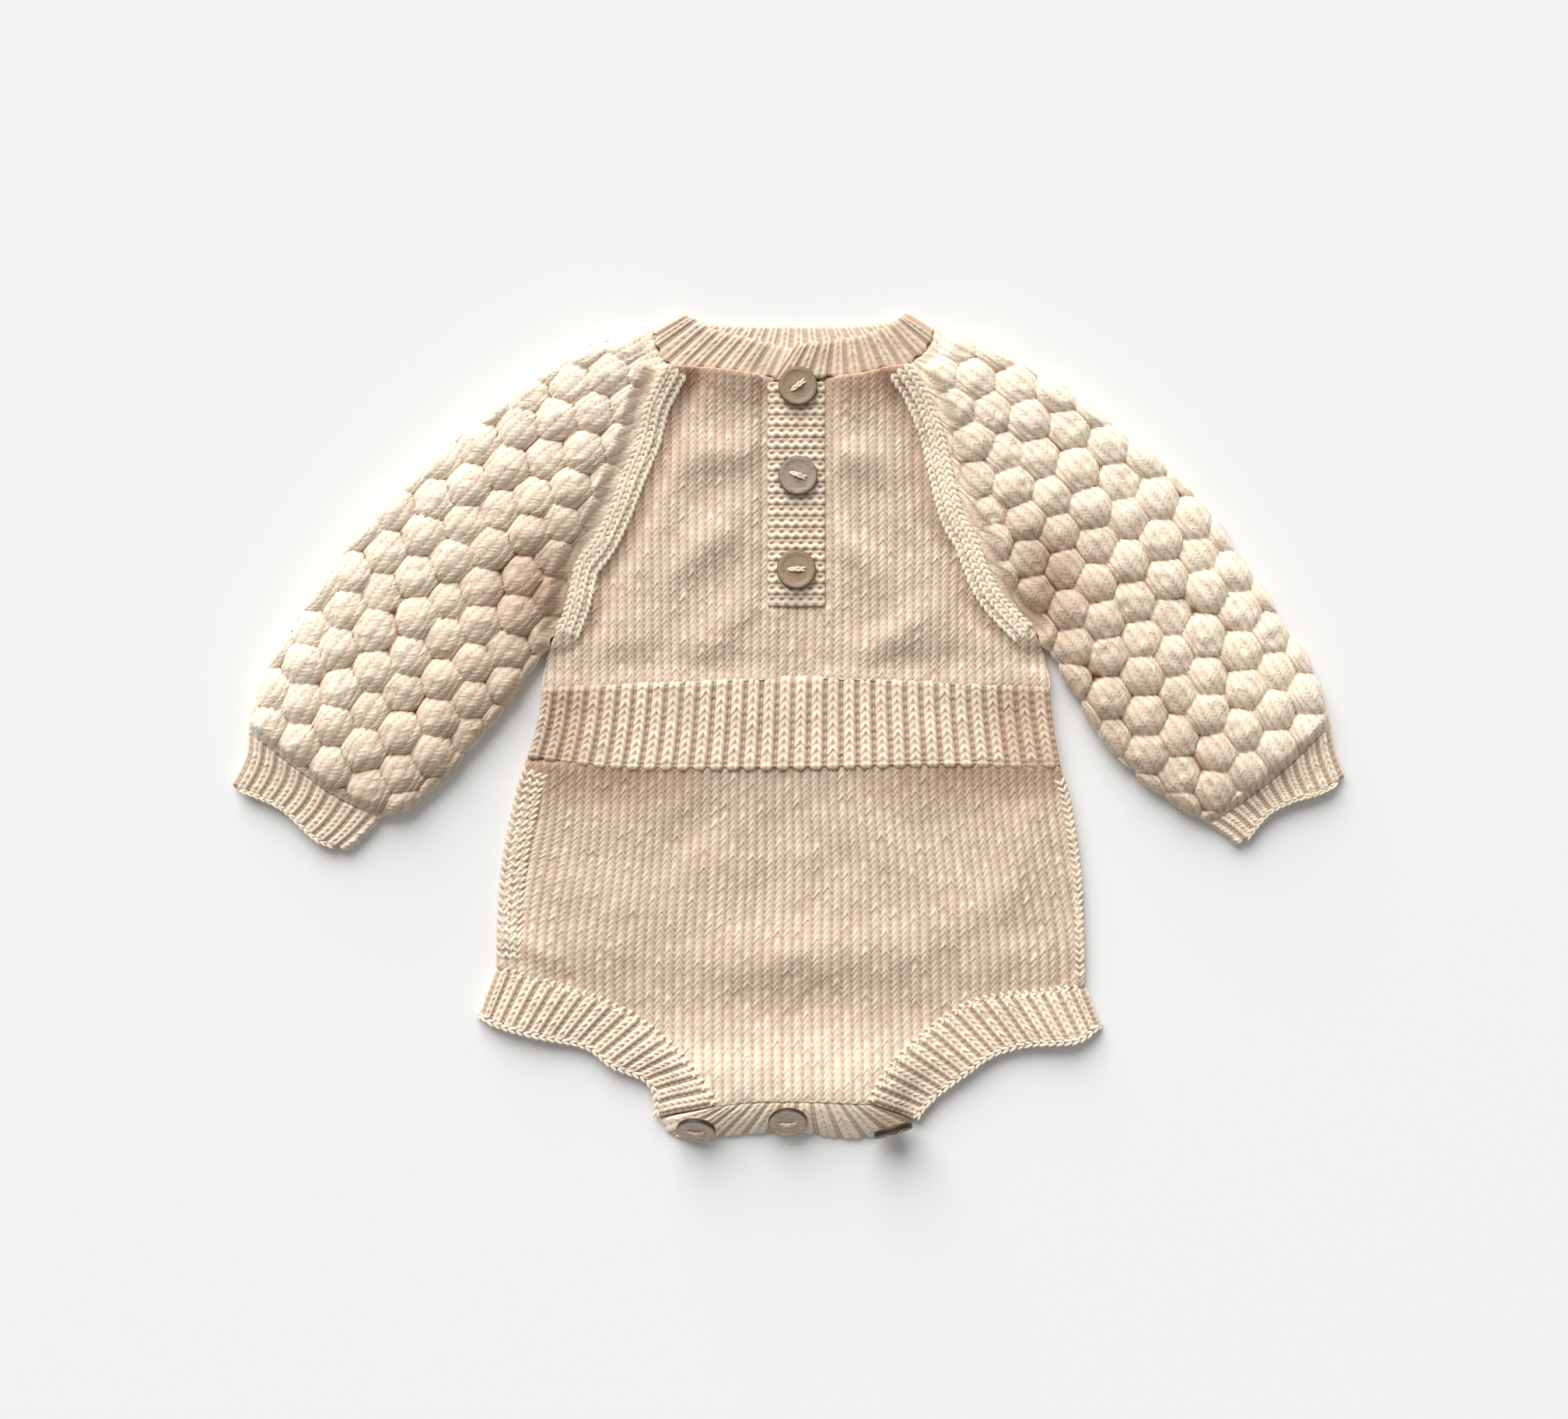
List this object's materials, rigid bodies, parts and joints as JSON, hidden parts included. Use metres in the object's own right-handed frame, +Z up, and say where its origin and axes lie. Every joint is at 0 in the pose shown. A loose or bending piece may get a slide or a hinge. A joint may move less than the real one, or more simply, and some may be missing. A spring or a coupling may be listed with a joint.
{
  "type": "baby romper",
  "caption": "Long-sleeved knitted baby romper lying flat: plain body, bubble-stitch raglan sleeves, ribbed bands, buttoned front placket and buttoned crotch.",
  "frame": {"origin": "middle of the garment's outline seen from above, on the surface it lies on", "axes": "+X towards the wearer's left sleeve (right-hand sleeve in the view from above), +Y towards the neck, +Z up out of the surface, through the back layer and then the front layer"},
  "size_m": [0.5144, 0.3834, 0.0211],
  "materials": {
    "stockinette": "matt cream cotton yarn, plain stockinette knit",
    "bubble_knit": "matt cream cotton yarn, raised bubble stitch",
    "ribbing": "matt cream cotton yarn, one by one rib",
    "garter": "matt cream cotton yarn, garter stitch",
    "buttons": "coconut shell, eased edges, dull polish"
  },
  "bodies": {
    "root": {"back_bodice": "stockinette", "back_brief": "stockinette", "button_belly": "buttons", "button_chest": "buttons", "button_crotch_left": "buttons", "button_crotch_middle": "buttons", "button_crotch_right": "buttons", "button_neck": "buttons", "crotch_band_back": "ribbing", "crotch_band_front": "ribbing", "cuff_left": "ribbing", "cuff_right": "ribbing", "front_bodice": "stockinette", "front_brief": "stockinette", "leg_band_left": "ribbing", "leg_band_right": "ribbing", "neckband": "ribbing", "placket_over": "garter", "placket_under": "garter", "sleeve_left": "bubble_knit", "sleeve_right": "bubble_knit", "waistband_back": "ribbing", "waistband_front": "ribbing"}
  },
  "joints": []
}
